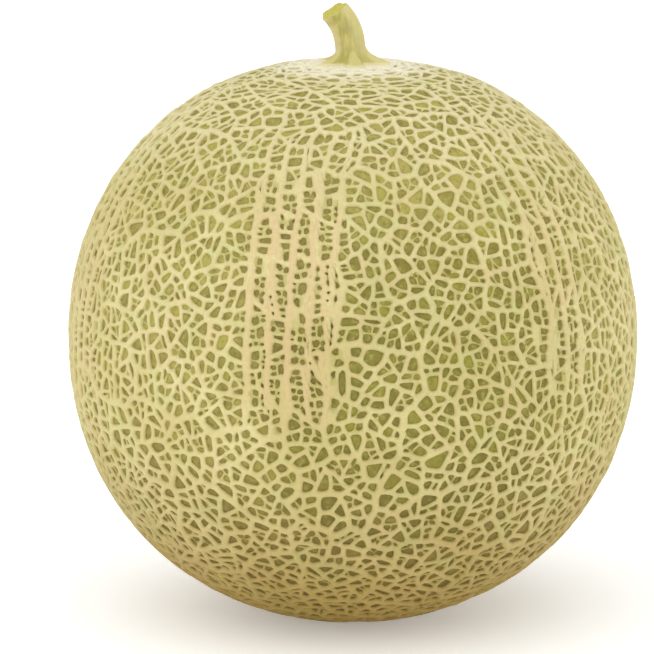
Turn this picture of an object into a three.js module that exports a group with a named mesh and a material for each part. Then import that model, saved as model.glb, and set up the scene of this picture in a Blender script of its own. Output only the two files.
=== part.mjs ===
// A netted melon with its cut stem, in millimetres, +Z up.
// The origin is the centre of the small flat spot at the blossom end, on which the fruit rests.
// The fruit is one solid whose skin is parted into cells by a raised corky net.
// The stem is a second solid, which stands in the dip at the crown.
import * as THREE from "three";

// The fruit, over the crests of its net
const fruitWidth = 150;
const crownHeight = 75.3; // from the widest level up to where the crown would be without its dip
const keelHeight = 75.3; // from the widest level down to where a full round would end
const crownPower = 2.07; // 2 makes an ellipse, and more makes it squarer
const keelPower = 2.12;
const dipDepth = 2.312; // the hollow round the stem
const dipAngle = 0.34; // its spread from the axis, in radians
const lobes = [
  { count: 2, rise: 0.3, phase: 0.9 },
  { count: 3, rise: 0.35, phase: -0.6 },
]; // how the girth strays from a circle
const restRadius = 13; // the flat blossom scar
const seatRadius = 11.6; // the flat ring that the stem stands on

// The net, which is larger than life here
const netCells = 480;
const ridgeHeight = 1.2;
const widestRidge = 2.9; // across its top
const finestRidge = 1.7;
const ridgeShare = 0.145; // a ridge's width as a share of the side of the cell that it parts
const wallRun = 0.7; // how far a ridge's wall leans out towards its foot
const mostDrawnIn = 0.72; // keeps a small cell's floor open
const wedges = 6; // the skin starts as this many wedges from crown to blossom end
const wedgeSides = 2; // sides of each cap's outline on one wedge
const firstWedge = -102.4; // degrees from +X, so that a dense band of the net faces the front
const wedgeOrder = [3, 5, 6, 2, 4, 7]; // the wedges are alike, and are first parted in this order
const orderStep = 0.001; // mm² that a wedge counts for less than the one before it
const bandReach = 0.17; // half the width of a band of upright ridges, in radians
const bandStretch = 1.6; // how much taller than wide its cells may be before they are parted across
const bandLow = -0.08; // the sine of the latitude at which a band starts
const bandHigh = 0.78; // and at which it ends
const bandLines = [2, 1, 0, 1, 0, 1]; // upright lines to each side of each border
const lineSpacing = 5.2;
const lineRidge = 2.1;
const lineWeight = 2.2; // how much more a cell counts while such a line still has to part it
const lineReach = 0.62; // how far from its middle a line may part a cell, as a share of the half width
const lineFade = 0.1; // the sine of latitude over which the lines of a band come in and go out
const lineStep = 0.8; // the most that a point is drawn back to its line at once
const crownReach = 0.62; // how far from the stem the cells lie in rings, in radians
const crownStretch = 2.1;
const shortestShare = 0.2; // the least length that a parted side keeps, as a share of its cell's side
const cutSwing = 0.85; // radians between the most slanted cuts
const cutShift = 0.9; // how far a cut may stray from the middle of its cell, as a share of its length
const sizeSpread = 0.5; // how much chance makes a cell count for more or less than it measures
const relaxShares = [0.35, 0.25];
const seed = 20240611;
const drawModulus = 2147483647;
const drawFactor = 48271;
const keyBase = 100000; // more than the points that a net has

// The stem
const stemHeight = 14; // to the middle of its cut
const stemAside = -0.5; // it grows a little off the axis
const footRadius = 3.75;
const cutRadius = 3.5;
const stemBend = 3.3; // the power of the height by which it bends
const stemLean = 4.2; // how far the cut end bends to -X
const stemNod = 2; // and to -Y
const rowTilt = 2; // how much its rows tilt with the bend, up to the slant of the cut
const stemRibs = 5;
const ribDepth = 0.38;
const collarRadius = 9.8;
const collarHeight = 4.2;
const collarEdge = 0.5; // its thickness at the rim
const collarPower = 2.6; // how sharply the roots sweep out
const rootUnevenness = 0.2; // how much further the roots reach than the hollows between them
const rootRibs = 1.2; // how much the ribs deepen towards the collar
const taperPower = 2; // how late the stem narrows to its cut
const ribPhase = 0.6;
const stemSides = 30;
const stemRows = 16;
const rowPower = 1.5; // packs the rows near the collar
const joinGap = 0.3; // kept between the stem and its seat

const meanRadius = (fruitWidth / 2 + crownHeight + keelHeight) / 3;
const centreHeight = keelHeight - restSag(); // of the widest level over the flat spot
const axisUp = new THREE.Vector3(0, 0, 1);
const halvings = 40; // enough to find an angle exactly

// How much of the full round the flat spot takes off.
function restSag() {
  const share = (restRadius / (fruitWidth / 2)) ** keelPower;
  return keelHeight * (1 - (1 - share) ** (1 / keelPower));
}

// Numbers from 0 to 1 that are the same at every run.
function seededDraw(start) {
  let state = start % drawModulus;
  return () => {
    state = (state * drawFactor) % drawModulus;
    return state / drawModulus;
  };
}

// The crests' distance from the middle of the fruit, towards the unit vector d.
function crestRadius(d) {
  const around = Math.hypot(d.x, d.y);
  const height = d.z > 0 ? crownHeight : keelHeight;
  const power = d.z > 0 ? crownPower : keelPower;
  const round =
    ((around / (fruitWidth / 2)) ** power + (Math.abs(d.z) / height) ** power) ** (-1 / power);
  const fromStem = Math.atan2(around, d.z);
  const turn = Math.atan2(d.y, d.x);
  const stray = lobes.reduce((sum, l) => sum + l.rise * Math.cos(l.count * turn + l.phase), 0);
  const dip = dipDepth * Math.exp(-((fromStem / dipAngle) ** 2));
  return round - dip + stray * around * around;
}

// The place of a point so far below the crests, no lower than the surface that the fruit rests on.
function onFruit(d, below) {
  const place = d.clone().multiplyScalar(crestRadius(d) - below);
  place.z = Math.max(place.z + centreHeight, 0);
  return place;
}

// The angle from the axis at which the crests stand this far from it, at the crown or the blossom end.
function capAngle(radius, up) {
  let low = 0;
  let high = Math.PI / 4;
  for (let halving = 0; halving < halvings; halving++) {
    const middle = (low + high) / 2;
    const d = new THREE.Vector3(Math.sin(middle), 0, up * Math.cos(middle));
    if (Math.sin(middle) * crestRadius(d) < radius) low = middle;
    else high = middle;
  }
  return low;
}

const seatAngle = capAngle(seatRadius, 1);
const restAngle = capAngle(restRadius, -1);

// East and north at a unit vector, for measuring a cell as if it were flat.
function levelFrame(d) {
  const east = new THREE.Vector3().crossVectors(axisUp, d).normalize();
  return { east, north: new THREE.Vector3().crossVectors(d, east) };
}

// A cell's corners, middle, area and second moments, in millimetres on its own level frame.
function measure(ring, points) {
  const middle = new THREE.Vector3();
  ring.forEach((i) => middle.add(points[i]));
  middle.normalize();
  const { east, north } = levelFrame(middle);
  const flat = ring.map((i) => ({
    x: points[i].dot(east) * meanRadius,
    y: points[i].dot(north) * meanRadius,
  }));
  let area = 0;
  let x = 0;
  let y = 0;
  flat.forEach((a, i) => {
    const b = flat[(i + 1) % flat.length];
    const cross = a.x * b.y - b.x * a.y;
    area += cross / 2;
    x += ((a.x + b.x) * cross) / 6;
    y += ((a.y + b.y) * cross) / 6;
  });
  x /= area;
  y /= area;
  const moments = { xx: 0, xy: 0, yy: 0 };
  flat.forEach((p, i) => {
    const q = flat[(i + 1) % flat.length];
    const a = { x: p.x - x, y: p.y - y };
    const b = { x: q.x - x, y: q.y - y };
    const cross = (a.x * b.y - b.x * a.y) / area;
    moments.xx += (cross * (a.x * a.x + a.x * b.x + b.x * b.x)) / 12;
    moments.yy += (cross * (a.y * a.y + a.y * b.y + b.y * b.y)) / 12;
    moments.xy += (cross * (a.x * b.y + 2 * a.x * a.y + 2 * b.x * b.y + b.x * a.y)) / 24;
  });
  return { flat, area, x, y, moments, middle };
}

// The nearest border between wedges, and the angle by which a place lies east of it.
function besideBorder(d) {
  const pitch = 360 / wedges;
  const turn = THREE.MathUtils.radToDeg(Math.atan2(d.y, d.x)) - firstWedge;
  const nearest = Math.round(turn / pitch);
  const aside = THREE.MathUtils.degToRad(turn - pitch * nearest) * Math.hypot(d.x, d.y);
  return { border: ((nearest % wedges) + wedges) % wedges, aside };
}

function inBandRange(d) {
  return d.z > bandLow && d.z < bandHigh;
}

// How much the cells at a place are shrunk to east and north before their longer way is read.
// Cells lie in rings round the stem, and stand upright along the borders of the wedges.
function grain(d) {
  if (Math.acos(d.z) < crownReach) return { east: 1 / crownStretch, north: 1 };
  const isBand = Math.abs(besideBorder(d).aside) < bandReach && inBandRange(d);
  return { east: 1, north: isBand ? 1 / bandStretch : 1 };
}

// The upright line of a band that passes well inside a cell, if there is one: how far east it
// passes, and how far east it leans on its way north.
function lineThrough({ middle, x, moments }) {
  const { border, aside } = besideBorder(middle);
  const most = bandLines[border];
  const line = THREE.MathUtils.clamp(Math.round((aside * meanRadius) / lineSpacing), -most, most);
  const east = line * lineSpacing - aside * meanRadius;
  const isTall = moments.yy > bandStretch ** 2 * moments.xx;
  const isAside = Math.abs(east - x) > lineReach * Math.sqrt(3 * moments.xx);
  if (isTall || isAside || !inBandRange(middle)) return null;
  const climb = middle.z / Math.hypot(middle.x, middle.y);
  return { east, lean: ((line * lineSpacing) / meanRadius) * climb, border, line };
}

// The skin parted into cells. Each cell is a ring of points, and each pair of neighbours a ridge.
class CrackedSkin {
  constructor(random) {
    this.random = random;
    this.points = [];
    this.cells = [];
    this.owner = new Map();
    this.width = new Map();
    this.capCount = 2;
    this.capPoints = new Set();
    this.linePoints = new Map();
    this.startWedges();
  }

  key(a, b) {
    return a * keyBase + b;
  }

  ridgeWidth(a, b) {
    return this.width.get(this.key(Math.min(a, b), Math.max(a, b)));
  }

  setRidgeWidth(a, b, value) {
    this.width.set(this.key(Math.min(a, b), Math.max(a, b)), value);
  }

  // The cells that meet at point a, in turn, starting from one of them.
  cellsAround(a, start) {
    const found = [];
    for (let index = start; !found.includes(index); ) {
      found.push(index);
      const ring = this.cells[index];
      const next = ring[(ring.indexOf(a) + 1) % ring.length];
      index = this.owner.get(this.key(next, a));
    }
    return found;
  }

  keepCell(index, ring) {
    this.cells[index] = ring;
    ring.forEach((a, i) => this.owner.set(this.key(a, ring[(i + 1) % ring.length]), index));
  }

  // A round cap at each end, and wedges from one to the other.
  startWedges() {
    const sides = wedges * wedgeSides;
    const capRing = (angle, up) =>
      Array.from({ length: sides }, (_, i) => {
        const turn = THREE.MathUtils.degToRad(firstWedge + (360 * i) / sides);
        const across = Math.sin(angle);
        this.points.push(
          new THREE.Vector3(across * Math.cos(turn), across * Math.sin(turn), up * Math.cos(angle)),
        );
        return this.points.length - 1;
      });
    const top = capRing(seatAngle, 1);
    const bottom = capRing(restAngle, -1);
    this.keepCell(0, top);
    this.keepCell(1, [...bottom].reverse());
    for (let w = 0; w < wedges; w++) {
      const at = (list, i) => list[(w * wedgeSides + i) % sides];
      const upper = Array.from({ length: wedgeSides + 1 }, (_, i) => at(top, wedgeSides - i));
      const lower = Array.from({ length: wedgeSides + 1 }, (_, i) => at(bottom, i));
      this.keepCell(2 + w, [...upper, ...lower]);
    }
    this.cells.forEach((ring) =>
      ring.forEach((a, i) => this.setRidgeWidth(a, ring[(i + 1) % ring.length], widestRidge)),
    );
    [...top, ...bottom].forEach((i) => this.capPoints.add(i));
    for (let border = 0; border < wedges; border++)
      for (const ring of [top, bottom]) this.linePoints.set(ring[border * wedgeSides], { border, line: 0 });
  }

  // A new point on the side from a to b, which both of its cells then share.
  partSide(a, b, share) {
    const point = this.points[a].clone().lerp(this.points[b], share).normalize();
    const made = this.points.push(point) - 1;
    const width = this.ridgeWidth(a, b);
    this.setRidgeWidth(a, made, width);
    this.setRidgeWidth(made, b, width);
    const other = this.owner.get(this.key(b, a));
    const ring = this.cells[other];
    ring.splice(ring.indexOf(b) + 1, 0, made);
    this.keepCell(other, ring);
    if (other < this.capCount) this.capPoints.add(made);
    const [from, to] = [this.linePoints.get(a), this.linePoints.get(b)];
    if (from && to && from.border === to.border && from.line === to.line) this.linePoints.set(made, from);
    return made;
  }

  // Parts a cell in two, about across its longer way.
  partCell(index) {
    const ring = this.cells[index];
    const { flat, area, x, y, moments, middle } = measure(ring, this.points);
    const squeeze = grain(middle);
    const xx = moments.xx * squeeze.east ** 2;
    const yy = moments.yy * squeeze.north ** 2;
    const xy = moments.xy * squeeze.east * squeeze.north;
    const longWay = 0.5 * Math.atan2(2 * xy, xx - yy);
    const length = Math.sqrt((xx + yy) / 2 + Math.hypot((xx - yy) / 2, xy));
    const cut = longWay + Math.PI / 2 + (this.random() - 0.5) * cutSwing;
    const shift = (this.random() - 0.5) * cutShift * length;
    const line = lineThrough({ middle, x, moments });
    const way = line
      ? { x: line.lean, y: 1 }
      : { x: Math.cos(cut) / squeeze.east, y: Math.sin(cut) / squeeze.north };
    const start = line
      ? { x: line.east, y: 0 }
      : {
          x: x + (shift * Math.cos(longWay)) / squeeze.east,
          y: y + (shift * Math.sin(longWay)) / squeeze.north,
        };
    const sides = flat.map((p) => way.x * (p.y - start.y) - way.y * (p.x - start.x));
    const crossings = [];
    sides.forEach((s, i) => {
      const j = (i + 1) % ring.length;
      if (s > 0 !== sides[j] > 0) crossings.push({ a: ring[i], b: ring[j], share: s / (s - sides[j]) });
    });
    const [first, second] = crossings.map(({ a, b, share }) => {
      const span = this.points[a].distanceTo(this.points[b]) * meanRadius;
      const least = Math.min(0.5, (shortestShare * Math.sqrt(area)) / span);
      return this.partSide(a, b, Math.min(Math.max(share, least), 1 - least));
    });
    const full = [];
    ring.forEach((a, i) => {
      full.push(a);
      const next = ring[(i + 1) % ring.length];
      crossings.forEach((c, k) => {
        if (c.a === a && c.b === next) full.push(k ? second : first);
      });
    });
    const from = full.indexOf(first);
    const turned = [...full.slice(from), ...full.slice(0, from)];
    const to = turned.indexOf(second);
    this.keepCell(index, turned.slice(0, to + 1));
    this.keepCell(this.cells.length, [...turned.slice(to), first]);
    if (line) [first, second].forEach((made) => this.linePoints.set(made, line));
    const width = line ? lineRidge : ridgeShare * Math.sqrt(area);
    this.setRidgeWidth(first, second, Math.min(Math.max(width, finestRidge), widestRidge));
  }

  // Parts the largest cell again and again.
  partInto(count) {
    const weight = this.cells.map((ring, i) => {
      const isCap = i < this.capCount;
      return isCap ? 0 : measure(ring, this.points).area - orderStep * wedgeOrder.indexOf(i);
    });
    while (this.cells.length < count) {
      const largest = weight.indexOf(Math.max(...weight));
      this.partCell(largest);
      for (const i of [largest, this.cells.length - 1]) {
        const chance = 1 + sizeSpread * (this.random() - 0.5);
        const cell = measure(this.cells[i], this.points);
        weight[i] = cell.area * chance * (lineThrough(cell) ? lineWeight : 1);
      }
    }
  }

  // Draws each point towards its neighbours, which rounds the corners of the cells.
  relax(share) {
    const sums = this.points.map(() => new THREE.Vector3());
    this.cells.forEach((ring) =>
      ring.forEach((a, i) => sums[a].add(this.points[ring[(i + 1) % ring.length]])),
    );
    this.points.forEach((point, i) => {
      if (this.capPoints.has(i)) return;
      point.lerp(sums[i].normalize(), share).normalize();
    });
  }

  // Draws the points of each upright line back to it, as far as they lie in the range of the bands.
  straighten() {
    this.linePoints.forEach(({ border, line }, i) => {
      const point = this.points[i];
      const inside = Math.min(point.z - bandLow, bandHigh - point.z) / lineFade;
      if (inside <= 0 || this.capPoints.has(i)) return;
      const around = Math.hypot(point.x, point.y);
      const turn =
        THREE.MathUtils.degToRad(firstWedge + (360 * border) / wedges) +
        (line * lineSpacing) / (meanRadius * around);
      const onLine = new THREE.Vector3(around * Math.cos(turn), around * Math.sin(turn), point.z);
      const stray = point.distanceTo(onLine) * meanRadius;
      point.lerp(onLine, Math.min(inside, 1, lineStep / Math.max(stray, lineStep))).normalize();
    });
  }
}

// The middle of a cell as a unit vector.
function centreOf(cell) {
  const { east, north } = levelFrame(cell.middle);
  return cell.middle
    .clone()
    .addScaledVector(east, cell.x / meanRadius)
    .addScaledVector(north, cell.y / meanRadius)
    .normalize();
}

// The share of the way to its cell's middle that a ring point goes to clear half of each of its ridges.
function shareToClear(skin, ring, i, cell, spare) {
  const count = ring.length;
  const shares = [i, (i + count - 1) % count].map((k) => {
    const a = cell.flat[k];
    const b = cell.flat[(k + 1) % count];
    const span = Math.hypot(b.x - a.x, b.y - a.y);
    const away = ((b.x - a.x) * (cell.y - a.y) - (b.y - a.y) * (cell.x - a.x)) / span;
    return (skin.ridgeWidth(ring[k], ring[(k + 1) % count]) / 2 + spare) / away;
  });
  return Math.min(Math.max(...shares), mostDrawnIn);
}

// The fruit as one closed mesh: ridge tops, the walls down to each cell's floor, and the floors.
function fruitGeometry(skin) {
  const positions = [];
  const faces = [];
  const add = (place) => positions.push(place) - 1;
  const seatHeight = onFruit(new THREE.Vector3(Math.sin(seatAngle), 0, Math.cos(seatAngle)), 0).z;
  const crests = skin.cells.map((ring, index) => {
    const cell = measure(ring, skin.points);
    const centre = centreOf(cell);
    const isCap = index < skin.capCount;
    const drawn = (i, spare) =>
      skin.points[ring[i]].clone().lerp(centre, isCap ? 0 : shareToClear(skin, ring, i, cell, spare));
    const edge = ring.map((a, i) => {
      const place = onFruit(drawn(i, 0).normalize(), 0);
      if (isCap) place.z = index ? 0 : seatHeight;
      return add(place);
    });
    const floor = isCap ? edge : ring.map((a, i) => add(onFruit(drawn(i, wallRun).normalize(), ridgeHeight)));
    edge.forEach((a, i) => {
      const j = (i + 1) % edge.length;
      if (!isCap) faces.push(a, edge[j], floor[j], a, floor[j], floor[i]);
      if (i > 0 && j > 0) faces.push(floor[0], floor[i], floor[j]);
    });
    return new Map(ring.map((a, i) => [a, edge[i]]));
  });
  skin.cells.forEach((ring, index) =>
    ring.forEach((a, i) => {
      const b = ring[(i + 1) % ring.length];
      const other = skin.owner.get(skin.key(b, a));
      const [here, there] = [crests[index], crests[other]];
      if (a < b) faces.push(here.get(a), there.get(a), there.get(b), here.get(a), there.get(b), here.get(b));
      const around = skin.cellsAround(a, index);
      if (index !== Math.min(...around)) return;
      for (let k = 1; k < around.length - 1; k++)
        faces.push(...[0, k + 1, k].map((n) => crests[around[n]].get(a)));
    }),
  );
  return { geometry: new THREE.BufferGeometry().setFromPoints(positions).setIndex(faces), seatHeight };
}

// The stem's middle line, from the seat up to the middle of the cut, bending to -X and -Y.
function stemPoint(t) {
  const bend = t ** stemBend;
  return new THREE.Vector3(-stemLean * bend, -stemNod * bend, t * stemHeight);
}

// The way that the stem's rows face at a share of its height.
function stemWay(t) {
  return new THREE.Vector3(-rowTilt * stemLean * t, -rowTilt * stemNod * t, stemHeight).normalize();
}

// The stem's radius at a share of its height and a turn: ribs that spread into roots at the collar.
function stemRadiusAt(t, turn) {
  const flare = Math.max(0, 1 - Math.max(0, t * stemHeight - collarEdge) / collarHeight);
  const rib = Math.cos(stemRibs * turn + ribPhase);
  const root = (collarRadius - footRadius) * flare ** collarPower * (1 + rootUnevenness * (rib - 1));
  const body = footRadius + (cutRadius - footRadius) * t ** taperPower;
  return body + ribDepth * (1 + rootRibs * flare) * rib + root;
}

// The stem as one closed mesh of rows of points, cut off at its end.
function stemGeometry() {
  const positions = [];
  const faces = [];
  for (let row = 0; row < stemRows; row++) {
    const t = (row / (stemRows - 1)) ** rowPower;
    const along = stemWay(t);
    const across = new THREE.Vector3(0, 1, 0).cross(along).normalize();
    const side = new THREE.Vector3().crossVectors(along, across);
    for (let i = 0; i < stemSides; i++) {
      const turn = (2 * Math.PI * i) / stemSides;
      const radius = stemRadiusAt(t, turn);
      positions.push(
        stemPoint(t)
          .addScaledVector(across, radius * Math.cos(turn))
          .addScaledVector(side, radius * Math.sin(turn)),
      );
    }
  }
  for (let row = 0; row < stemRows - 1; row++) {
    for (let i = 0; i < stemSides; i++) {
      const a = row * stemSides + i;
      const b = row * stemSides + ((i + 1) % stemSides);
      faces.push(a, b, b + stemSides, a, b + stemSides, a + stemSides);
    }
  }
  const foot = positions.push(stemPoint(0)) - 1;
  const cut = positions.push(stemPoint(1)) - 1;
  const last = (stemRows - 1) * stemSides;
  for (let i = 0; i < stemSides; i++) {
    const j = (i + 1) % stemSides;
    faces.push(foot, j, i, cut, last + i, last + j);
  }
  return new THREE.BufferGeometry().setFromPoints(positions).setIndex(faces);
}

const skin = new CrackedSkin(seededDraw(seed));
skin.partInto(netCells);
relaxShares.forEach((share) => {
  skin.relax(share);
  skin.straighten();
});

const melon = new THREE.Group();

const { geometry: fruitShape, seatHeight } = fruitGeometry(skin);
const fruit = new THREE.Mesh(
  fruitShape,
  new THREE.MeshStandardMaterial({ color: 0xc4b880, roughness: 0.75, metalness: 0 }),
);
fruit.name = "fruit";
melon.add(fruit);

const stem = new THREE.Mesh(
  stemGeometry(),
  new THREE.MeshStandardMaterial({ color: 0xbdb76b, roughness: 0.6, metalness: 0 }),
);
stem.name = "stem";
stem.position.set(stemAside, 0, seatHeight + joinGap);
melon.add(stem);

export default melon;
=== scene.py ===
import heapq
import math

import bpy
import numpy as np
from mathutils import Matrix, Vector, noise


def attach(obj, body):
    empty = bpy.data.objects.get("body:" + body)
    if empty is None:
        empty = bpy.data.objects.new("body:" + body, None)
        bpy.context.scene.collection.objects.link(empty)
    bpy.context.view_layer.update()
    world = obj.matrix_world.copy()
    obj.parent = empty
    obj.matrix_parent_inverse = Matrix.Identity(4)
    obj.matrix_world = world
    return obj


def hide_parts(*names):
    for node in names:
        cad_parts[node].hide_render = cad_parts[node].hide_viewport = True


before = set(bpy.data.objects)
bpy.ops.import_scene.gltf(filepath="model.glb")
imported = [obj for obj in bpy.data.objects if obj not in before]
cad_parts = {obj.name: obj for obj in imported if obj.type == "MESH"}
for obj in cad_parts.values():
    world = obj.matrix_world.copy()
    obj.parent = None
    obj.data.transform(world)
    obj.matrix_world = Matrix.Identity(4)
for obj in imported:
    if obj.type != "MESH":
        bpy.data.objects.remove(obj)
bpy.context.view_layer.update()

mm = 0.001  # the dictionaries below are in millimetres


# Camera

photoView = {
    "pixels": 654,
    "distance": 1200,
    "elevation": 11.0,  # degrees above level
    "fruitPixels": 568,  # how wide the fruit stands in the picture
    "fruitMiddle": (351.5, 335.5),
    "sensor": 36.0,
    "clip": (0.05, 60.0),  # metres
}


def makeCamera(view, body):
    middle = Vector((0, 0, centreHeight(body))) * mm
    rise = math.radians(view["elevation"])
    away = view["distance"] * mm
    back = Vector((0, -math.cos(rise), math.sin(rise)))
    # The outline of a ball stands a little wider than its own width does
    half = math.asin(body["width"] / 2 * mm / away)
    perPixel = math.tan(half) * 2 / view["fruitPixels"]
    camera = bpy.data.objects.new("Camera", bpy.data.cameras.new("Camera"))
    bpy.context.scene.collection.objects.link(camera)
    camera.data.sensor_width = view["sensor"]
    camera.data.lens = view["sensor"] / (perPixel * view["pixels"])
    camera.data.dof.use_dof = False
    camera.data.clip_start, camera.data.clip_end = view["clip"]
    camera.location = middle + back * away
    # Turned a little, so that the fruit stands where it does in the picture
    aside = (view["fruitMiddle"][0] - view["pixels"] / 2) * perPixel
    down = (view["fruitMiddle"][1] - view["pixels"] / 2) * perPixel
    right = Vector((1, 0, 0))
    aim = down * back.cross(right) - aside * right - back
    camera.rotation_mode = "QUATERNION"
    camera.rotation_quaternion = aim.to_track_quat("-Z", "Y")
    bpy.context.scene.camera = camera


# The body of the fruit, over the crests of its net

body = {
    "width": 150.0,
    "crownHeight": 75.3,
    "keelHeight": 75.3,
    "crownPower": 2.07,
    "keelPower": 2.12,
    "lobes": [(2, 0.3, 0.9), (3, 0.35, -0.6)],  # count, rise and phase of each swelling of the girth
    "dipDepth": 2.312,
    "dipAngle": 0.34,
    "restRadius": 13.0,
    "seatRadius": 11.6,
    "halvings": 40,  # in the search for the angle of each cap
}
meanRadius = (body["width"] / 2 + body["crownHeight"] + body["keelHeight"]) / 3


def centreHeight(body):
    share = (body["restRadius"] / (body["width"] / 2)) ** body["keelPower"]
    return body["keelHeight"] * (1 - share) ** (1 / body["keelPower"])


def crestRadius(d):
    around = math.hypot(d[0], d[1])
    top = d[2] > 0
    height = body["crownHeight"] if top else body["keelHeight"]
    power = body["crownPower"] if top else body["keelPower"]
    full = ((around / (body["width"] / 2)) ** power + (abs(d[2]) / height) ** power) ** (-1 / power)
    turn = math.atan2(d[1], d[0])
    stray = sum(rise * math.cos(count * turn + phase) for count, rise, phase in body["lobes"])
    fromStem = math.atan2(around, d[2])
    dip = body["dipDepth"] * math.exp(-((fromStem / body["dipAngle"]) ** 2))
    return full - dip + stray * around * around


def onFruit(d, below):
    radius = crestRadius(d) - below
    return (d[0] * radius, d[1] * radius, max(d[2] * radius + centreHeight(body), 0))


def capAngle(radius, up):
    # The angle from the axis at which the body is so wide
    low, high = 0.0, math.pi / 4
    for halving in range(body["halvings"]):
        middle = (low + high) / 2
        across = math.sin(middle)
        if across * crestRadius((across, 0, up * math.cos(middle))) < radius:
            low = middle
        else:
            high = middle
    return low


# The net

net = {
    "seed": 20240611,
    "mainCells": 480,  # the large cells that the solids have too
    "cells": 7600,
    "mainRelax": [0.35, 0.25],
    "fineRelax": [0.3],
    "wedges": 6,
    "wedgeSides": 2,
    "wedgeOrder": [3, 5, 6, 2, 4, 7],  # the wedges are alike, and are first parted in this order
    "firstWedge": -102.4,  # degrees; the borders of the wedges carry bands of upright ridges
    # How the cells are parted
    "cutSwing": 0.85,
    "cutShift": 0.9,
    "shortestShare": 0.2,
    "mainSpread": 0.5,
    "fineSpread": 1.1,
    "crownReach": 0.62,  # nearer to the stem than this, in radians, the cells are long around it
    "crownStretch": 2.1,
    "crownFade": 0.32,  # the small cells there grow rounder over this angle, away from the stem
    # The bands, with heights as on a ball of radius 1
    "bandStrength": [1.0, 0.55, 0.2, 0.6, 0.35, 0.5],
    "bandReach": 0.17,
    "bandEdge": 4,  # how suddenly a band ends to its sides
    "bandLow": -0.08,
    "bandHigh": 0.78,
    "bandTop": 0.63,  # the bands fade out here, lower down than their lines end
    "bandFade": 0.2,
    "bandStretch": 1.6,
    "rungArea": 42.0,  # below this the cells of a band are parted by rungs
    "bandWeight": 0.7,  # how much more a small cell counts there, so that it is parted further
    "bandSquareness": 1.1,
    # The upright lines of the bands
    "bandLines": [2, 1, 0, 1, 0, 1],  # lines to each side of each border
    "lineSpacing": 5.2,
    "lineWeight": 2.2,
    "lineReach": 0.62,
    "lineFade": 0.1,
    "lineStep": 0.8,  # the most that a point is drawn back to its line at once
    "fineLineStep": 0.4,
    # How the ridges bend
    "meshPoints": 39500,  # points along the ridges, side points included
    "warps": [(12.0, 0.8), (5.0, 0.3)],  # wave size and reach of the bends
    "bandCalm": 0.8,  # how much less the ridges bend in a band
}

ridges = {
    "finestWidth": 0.84,
    "stepWidth": 0.15,  # how much wider a ridge is for each halving that came after it
    "lineWidth": 1.9,
    "lineWidening": [0.55, 0.2, 0.0, 0.25, 0.1, 0.2],  # of the upright lines in each band
    "faintWidth": 0.5,  # of the ridges that barely rise
    "faintShare": 0.66,  # how many of the last ridges are faint
    "faintArea": 23.0,  # ridges that part smaller cells than this may be faint
    "faintWaves": (37.7, 11.3),  # spread the draw for this over the noise
    "crownThinning": 0.2,
    "thinningSpan": 0.12,
    "thickSide": (-0.7, -0.3, -0.65),  # where the ridges are thicker
    "thickening": 0.17,
    "seatReach": 0.27,  # how far from the stem's axis the ridges close up, in radians
    "seatFade": 0.09,
    "seatThickening": 1.0,
    "waverSize": 5.0,
    "widthWaver": 0.18,
    "floorDepth": 0.95,
    "leastHeight": -0.12,
    "heightPerWidth": 0.68,
    "topShare": 0.42,  # how far the flat top of a ridge reaches to its foot
    "cornerSharpness": 14.0,
    "mostDrawnIn": 0.8,
    "leastDrawnIn": 0.02,
    "topDrawnIn": 0.6,  # how much of the most it may be at the top
    "leastClear": 0.05,
    "slitWidth": 2.5,  # a tall cell of a band that is narrower than this closes up
    "slitStretch": 1.7,
    "slitBand": 0.1,  # the least strength of a band that has slits
    "slitDepth": 0.12,
}

caps = {
    # share of the radius, rise and roughness of each ring inwards
    "seat": [(0.93, -0.1, 0.1), (0.8, -0.2, 0.1), (0.5, -0.2, 0.0)],
    "scar": [(0.9, 0.0, 0.0), (0.72, 0.15, 0.3), (0.6, 0.5, 0.5), (0.4, 0.35, 0.5), (0.18, 0.6, 0.4)],
    "lumpSize": 2.5,
    "apart": 40.0,  # how far apart in the noise the two caps lie
    "wander": 0.05,  # how far a ring strays from its rim's shape
    "wanderSize": 4.0,
    "wanderStep": 9.0,
    "width": 1.5,  # of the ridge that a cap counts as
}


def seededDraw(seed):
    state = seed % 2147483647
    while True:
        state = state * 48271 % 2147483647
        yield state / 2147483647


def dot(a, b):
    return a[0] * b[0] + a[1] * b[1] + a[2] * b[2]


def unit(a):
    length = math.sqrt(dot(a, a))
    return (a[0] / length, a[1] / length, a[2] / length)


def lerp(a, b, share):
    return tuple(p + (q - p) * share for p, q in zip(a, b))


def clamp(value):
    return min(max(value, 0.0), 1.0)


def sidesOf(ring):
    return zip(ring, ring[1:] + ring[:1])


def halfSpan(moment):
    # Half the width of a bar with such a second moment
    return math.sqrt(3 * max(moment, 0.0))


def levelFrame(d):
    length = math.hypot(d[0], d[1])
    east = (-d[1] / length, d[0] / length, 0.0)
    north = (-d[2] * east[1], d[2] * east[0], d[0] * east[1] - d[1] * east[0])
    return east, north


def aroundBand(d):
    # The nearest band and the distance from it, as an angle
    pitch = 360 / net["wedges"]
    turn = math.degrees(math.atan2(d[1], d[0])) - net["firstWedge"]
    nearest = math.floor(turn / pitch + 0.5)
    aside = math.radians(turn - pitch * nearest) * math.hypot(d[0], d[1])
    return nearest % net["wedges"], aside


def inBandRange(d):
    return net["bandLow"] < d[2] < net["bandHigh"]


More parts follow.
